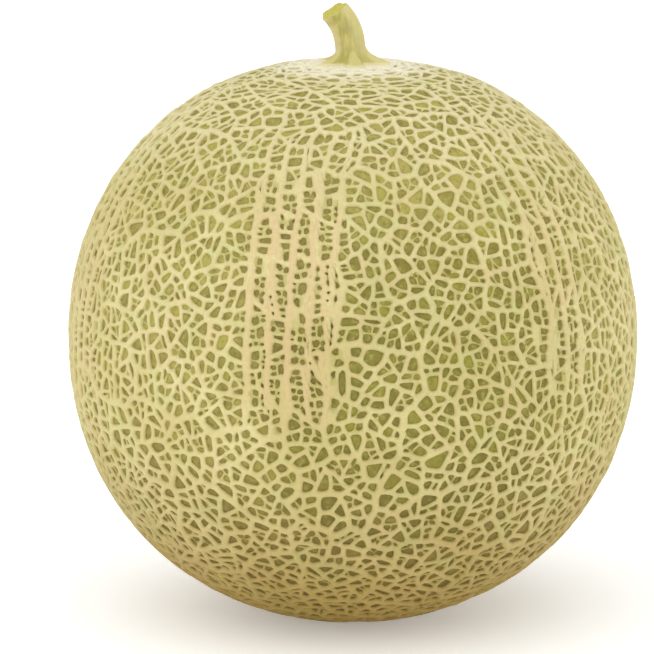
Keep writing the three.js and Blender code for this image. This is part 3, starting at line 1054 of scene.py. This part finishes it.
rindLook = {
    # Each layer is a colour and its share where it is full
    "cork": "#d4c888",
    "paleCork": ("#e0d69c", 1.0),
    "tanCork": ("#c4b077", 0.3),
    "peachCork": ("#dac492", 0.4),
    "greenCork": ("#c9cc8c", 0.5),
    "thinCork": ("#bdb56c", 0.7),
    "bandCork": ("#dac08e", 0.8),
    # paler cork over the crown: partly its own paler colour, partly painted light on the top
    "crownLitCork": ("#ece4b4", 0.65),
    "seatCork": ("#fbf5dc", 0.9),
    "ridgeFlankShade": ("#b3a364", 0.55),  # painted shade down the sides of a ridge
    "scarCork": "#8f7748",
    "skin": "#b0a455",
    "greenSkin": ("#989238", 1.0),
    "yellowSkin": ("#aaaa36", 0.36),
    "darkSkin": ("#756c25", 0.4),
    "paleSkin": ("#bab262", 0.6),
    "deepSkin": ("#756c25", 0.5),
    "bandSkin": ("#705c28", 0.45),
    # painted shade in the holes of the lower half: darker, browner skin
    "groundShadeSkin": ("#705e14", 0.45),
    "seatSkin": ("#ece4b4", 0.45),
    "greenShadeTint": "#f2f1ea",  # painted shade: multiplies all colours of the greener side, darkening them
    "groundShadeTint": "#c2ad78",  # painted shade: multiplies all colours near the ground, darker and browner there
    # Noise: size in millimetres, detail, and where it starts and is full
    "palePatches": (26, 3, 0.36, 0.64),
    "tanPatches": (7, 3, 0.3, 0.7),
    "peachPatches": (9, 2, 0.5, 0.68),
    "greenPatches": (11, 2, 0.48, 0.34),
    "specks": (0.8, 4, 0.35, 0.75),
    "scarPatches": (1.8, 3, 0.4, 0.62),
    "scarShares": (0.3, 0.5),  # least share, and how much the patches add
    "paleMottles": (1.3, 3, 0.5, 0.68),
    "deepMottles": (1.3, 3, 0.46, 0.34),
    # Where each layer lies
    "thinRidge": (1.15, 0.75),  # the widths in mm between which a ridge comes to count as thin
    "faintRidge": (0.72, 0.52),
    "wideRidge": (1.4, 2.3),
    # where the painted shade down a ridge's sides lies, by the net value
    "ridgeSide": (0.95, 0.35),
    # heights of the paler crown, which is partly painted light
    "crownLightHeights": (116, 146),
    "seatHeights": (144.3, 147.2),
    "scarHeights": (1.4, 0.3),
    # heights of the painted shade near the ground
    "groundShadeHeights": (66, 0),
    # heights of the painted shade in the lower holes
    "groundShadeSkinHeights": (90, 25),
    "yellowTones": (0.55, 1.0),
    "darkTones": (0.45, 0.0),
    "greenShadeMiddle": (20, -70, 72),  # of the greener side, which is also painted darker
    "greenShadeReach": (56, 24),
    "greenShadeEdge": (14, 2, 30),  # size and detail of its border's waves, and how far they reach
    # The edge of the ridges
    "maskEdge": (0.15, 0.52),
    "raggedness": (0.9, 3, 0.5),
    "fadePatches": (2.6, 2, 0.4, 0.6),
    "fadeShares": (0.25, 0.5),
    # The surface
    "corkRoughness": 0.72,
    "skinRoughness": 0.46,
    "roughness": (2, 3, 0.16),
    "corkGrain": (0.55, 4),
    "waxGrain": (1.2, 2),
    "waxShare": 0.25,
    "bump": (0.16, 0.8),  # millimetres, strength
    "specular": 0.35,
}


def ridgeMask(f, look, width):
    # 1 on the ridges and 0 on the skin, with a ragged edge, and worn away on the faint ridges
    least, added = look["fadeShares"]
    faint = f.between(width, *look["faintRidge"])
    fading = faint * (f.patches(*look["fadePatches"]) * added + least)
    size, detail, reach = look["raggedness"]
    ragged = (f.grainy(size, detail) - 0.5) * reach
    return f.between(f.attribute("net") + ragged - fading, *look["maskEdge"])


def corkColour(f, look, width, height, seat):
    cork = look["cork"]
    for kind in ("pale", "tan", "peach", "green"):
        cork = f.lay(cork, f.patches(*look[kind + "Patches"]), look[kind + "Cork"])
    cork = f.lay(cork, f.between(width, *look["thinRidge"]), look["thinCork"])
    inBand = f.attribute("band") * f.between(width, *look["wideRidge"])
    cork = f.lay(cork, inBand, look["bandCork"])
    # Painted light: the cork over the crown is paler, partly as if lit from above
    cork = f.lay(cork, f.between(height, *look["crownLightHeights"]), look["crownLitCork"])
    cork = f.lay(cork, seat, look["seatCork"])
    cork = f.lay(cork, f.patches(*look["specks"]), look["tanCork"])
    # Painted shade: the cork is darker down the sides of each ridge than on its flat top
    cork = f.lay(cork, f.between(f.attribute("net"), *look["ridgeSide"]), look["ridgeFlankShade"])
    least, added = look["scarShares"]
    scar = f.between(height, *look["scarHeights"]) * (f.patches(*look["scarPatches"]) * added + least)
    return f.mix(scar, cork, look["scarCork"])


def skinColour(f, look, height, seat, green):
    tone = f.attribute("tone")
    skin = f.lay(look["skin"], green, look["greenSkin"])
    skin = f.lay(skin, f.between(tone, *look["yellowTones"]), look["yellowSkin"])
    skin = f.lay(skin, f.between(tone, *look["darkTones"]), look["darkSkin"])
    skin = f.lay(skin, f.patches(*look["paleMottles"]), look["paleSkin"])
    skin = f.lay(skin, f.patches(*look["deepMottles"]), look["deepSkin"])
    skin = f.lay(skin, f.attribute("band"), look["bandSkin"])
    # Painted shade: the skin in the holes grows darker and browner towards the ground
    skin = f.lay(skin, f.between(height, *look["groundShadeSkinHeights"]), look["groundShadeSkin"])
    return f.lay(skin, seat, look["seatSkin"])


def greenShadedSide(f, look):
    # 1 on the greener side of the fruit, which is also painted darker, with a wavy border
    middle = [c * mm for c in look["greenShadeMiddle"]]
    away = f.node("ShaderNodeVectorMath", {"operation": "DISTANCE"}, [f.place(), middle], "Value")
    size, detail, reach = look["greenShadeEdge"]
    wave = (f.grainy(size, detail) - 0.5) * reach
    return f.between(away / mm + wave, *look["greenShadeReach"])


def rindFinish(look):
    f = Finish("rind")
    height = f.height()
    width = f.attribute("width")
    seat = f.between(height, *look["seatHeights"])
    green = greenShadedSide(f, look)
    mask = ridgeMask(f, look, width)
    cork = corkColour(f, look, width, height, seat)
    skin = skinColour(f, look, height, seat, green)
    # Painted shade: every colour on the greener side is darkened
    colour = f.mix(green, f.mix(mask, skin, cork), look["greenShadeTint"], "MULTIPLY")
    # Painted shade: all colours grow darker and browner towards the ground
    low = f.between(height, *look["groundShadeHeights"])
    f.set(Base_Color=f.mix(low, colour, look["groundShadeTint"], "MULTIPLY"))
    size, detail, reach = look["roughness"]
    uneven = (f.grainy(size, detail) - 0.5) * reach
    rise = look["corkRoughness"] - look["skinRoughness"]
    f.set(Roughness=mask * rise + look["skinRoughness"] + uneven)
    corky = f.grainy(*look["corkGrain"]) * mask
    waxy = f.grainy(*look["waxGrain"]) * (1 - mask)
    f.set(Normal=f.bump(corky + waxy * look["waxShare"], *look["bump"]))
    f.set(Specular_IOR_Level=look["specular"])
    return f.material


stemLook = {
    # Each layer is a colour and its share where it is full
    "green": "#b3aa5c",
    "pale": ("#ccc37a", 1.0),
    "grey": ("#a89668", 0.55),
    # painted light: paler on the east side, which the key light leaves in shade
    "eastSideLight": ("#d6cc8c", 0.7),
    "hollow": ("#b0a558", 0.5),  # between the roots
    "root": ("#d8cc86", 0.8),
    "rim": ("#eee6bc", 0.8),
    "dry": ("#dccca2", 0.7),
    "speck": ("#d8cc86", 0.6),
    "cutRim": "#b7ad45",
    "cut": ("#d3c95c", 1.0),
    # Noise: size in millimetres, detail, and where it starts and is full
    "streaks": (1.4, 3, 0.3, 0.7, (1, 1, 0.16)),
    "blotches": (3.2, 3, 0.45, 0.75),
    "specks": (0.7, 2, 0.66, 0.74),
    "fibres": (0.5, 3, 0.3, 0.7),
    # Where each layer lies, with heights above the seat
    "rootHeights": (4.2, 0.8),
    "rimHeights": (0.7, 0.0),
    # where the painted light on the east side lies
    "east": (0.4, 0.05),
    "dryWest": (0.72, 1.0),
    "dryEdge": (3, 3, 0.3),
    "crest": (0.4, 0.85),
    "crestEdge": (1.6, 2, 0.6),
    # The surface
    "roughness": (1.5, 3, 0.25, 0.42),  # size, detail, reach and least
    "grain": (0.6, 4, (1, 1, 0.3)),
    "bump": (0.14, 0.7),
    "specular": 0.35,
}


def stemFinish(look, seatLevel):
    f = Finish("stem")
    up = f.height() - seatLevel
    root = f.between(up, *look["rootHeights"])
    size, detail, reach = look["crestEdge"]
    crest = f.between(f.attribute("rib") + (f.grainy(size, detail) - 0.5) * reach, *look["crest"])
    size, detail, reach = look["dryEdge"]
    dry = f.between(f.attribute("west") + (f.grainy(size, detail) - 0.5) * reach, *look["dryWest"])
    colour = f.lay(look["green"], f.patches(*look["streaks"]), look["pale"])
    colour = f.lay(colour, f.patches(*look["blotches"]), look["grey"])
    # Painted light: the east side, in the key light's shade, is made paler
    colour = f.lay(colour, f.between(f.attribute("west"), *look["east"]), look["eastSideLight"])
    colour = f.lay(colour, root * (1 - crest), look["hollow"])
    colour = f.lay(colour, root * crest, look["root"])
    colour = f.lay(colour, f.between(up, *look["rimHeights"]), look["rim"])
    colour = f.lay(colour, dry * (1 - root), look["dry"])
    colour = f.lay(colour, f.patches(*look["specks"]), look["speck"])
    cut = f.lay(look["cutRim"], f.patches(*look["fibres"]), look["cut"])
    size, detail, reach, least = look["roughness"]
    f.set(Base_Color=f.mix(f.attribute("cut"), colour, cut))
    f.set(Roughness=f.grainy(size, detail) * reach + least)
    f.set(Normal=f.bump(f.grainy(*look["grain"]), *look["bump"]))
    f.set(Specular_IOR_Level=look["specular"])
    return f.material


# Floor and light

studio = {
    "floorColour": "#ffffff",
    "floorGlow": 0.26,
    "floorRoughness": 0.9,
    "floorSpecular": 0.1,
    "floorRings": (0.1, 0.5, 2.0, 5.0),  # metres
    "wallRadius": 8.0,
    "wallHeight": 3.5,
    "sides": 96,
    "wallSteps": 14,
    "skyStrength": 0.575,
    "keyStrength": 1.1,
    "keyElevation": 65.0,
    "keyTurn": -16.0,
    "keySpread": 80.0,
}


def makeFloor(studio):
    # A round floor that curves up into a wall
    rings = [(radius, 0.0) for radius in studio["floorRings"]]
    edge = studio["floorRings"][-1]
    span = studio["wallRadius"] - edge
    for k in range(1, studio["wallSteps"] + 1):
        turn = math.pi / 2 * k / studio["wallSteps"]
        rings.append((edge + span * math.sin(turn), span * (1 - math.cos(turn))))
    rings.append((studio["wallRadius"], studio["wallHeight"]))
    sides = studio["sides"]
    places = [(0, 0, 0)]
    for radius, height in rings:
        for i in range(sides):
            turn = 2 * math.pi * i / sides
            places.append((radius * math.cos(turn), radius * math.sin(turn), height))
    faces = [(0, 1 + i, 1 + (i + 1) % sides) for i in range(sides)]
    for ring in range(len(rings) - 1):
        for i in range(sides):
            a, b = 1 + ring * sides + i, 1 + ring * sides + (i + 1) % sides
            faces.append((a, a + sides, b + sides, b))
    mesh = bpy.data.meshes.new("floor")
    mesh.from_pydata(places, [], faces)
    mesh.shade_smooth()
    mesh.materials.append(floorFinish(studio))
    standing(mesh)


def floorFinish(studio):
    f = Finish("floor")
    f.set(Base_Color=linear(studio["floorColour"]), Roughness=studio["floorRoughness"])
    f.set(Specular_IOR_Level=studio["floorSpecular"])
    f.set(Emission_Color=linear(studio["floorColour"]), Emission_Strength=studio["floorGlow"])
    return f.material


def makeLight(studio):
    world = bpy.data.worlds.new("studio")
    world.use_nodes = True
    sky = world.node_tree.nodes["Background"]
    sky.inputs["Color"].default_value = (1, 1, 1, 1)
    sky.inputs["Strength"].default_value = studio["skyStrength"]
    bpy.context.scene.world = world
    key = bpy.data.objects.new("key", bpy.data.lights.new("key", "SUN"))
    bpy.context.scene.collection.objects.link(key)
    key.data.energy = studio["keyStrength"]
    key.data.angle = math.radians(studio["keySpread"])
    up, turn = math.radians(studio["keyElevation"]), math.radians(studio["keyTurn"])
    towards = Vector((math.sin(turn) * math.cos(up), -math.cos(turn) * math.cos(up), math.sin(up)))
    key.rotation_mode = "QUATERNION"
    key.rotation_quaternion = towards.to_track_quat("Z", "Y")
    bpy.context.scene.view_settings.view_transform = "Standard"


# Everything is made here

makeCamera(photoView, body)
makeFloor(studio)
makeLight(studio)
print("camera and studio")

skin = CrackedSkin(net)
skin.partInto(net["mainCells"], net["mainSpread"])
for share in net["mainRelax"]:
    skin.relax(share)
    skin.straighten(net["lineStep"])
skin.partInto(net["cells"], net["fineSpread"])
for share in net["fineRelax"]:
    skin.relax(share)
    skin.straighten(net["fineLineStep"])
skin.addSidePoints(net["meshPoints"])
warpNet(skin, net["warps"])
print("net", len(skin.cells), "cells,", len(skin.points), "points")

seatAngle = capAngle(body["seatRadius"], 1)
seatLevel = onFruit((math.sin(seatAngle), 0, math.cos(seatAngle)), 0)[2]

rind = rindFinish(rindLook)
for half in makeFruit(skin):
    half.data.materials.append(rind)
    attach(half, "root")
    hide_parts("fruit")
print("rind")

stalk = makeStem(seatLevel)
stalk.data.materials.append(stemFinish(stemLook, seatLevel))
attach(stalk, "root")
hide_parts("stem")
print("stem")
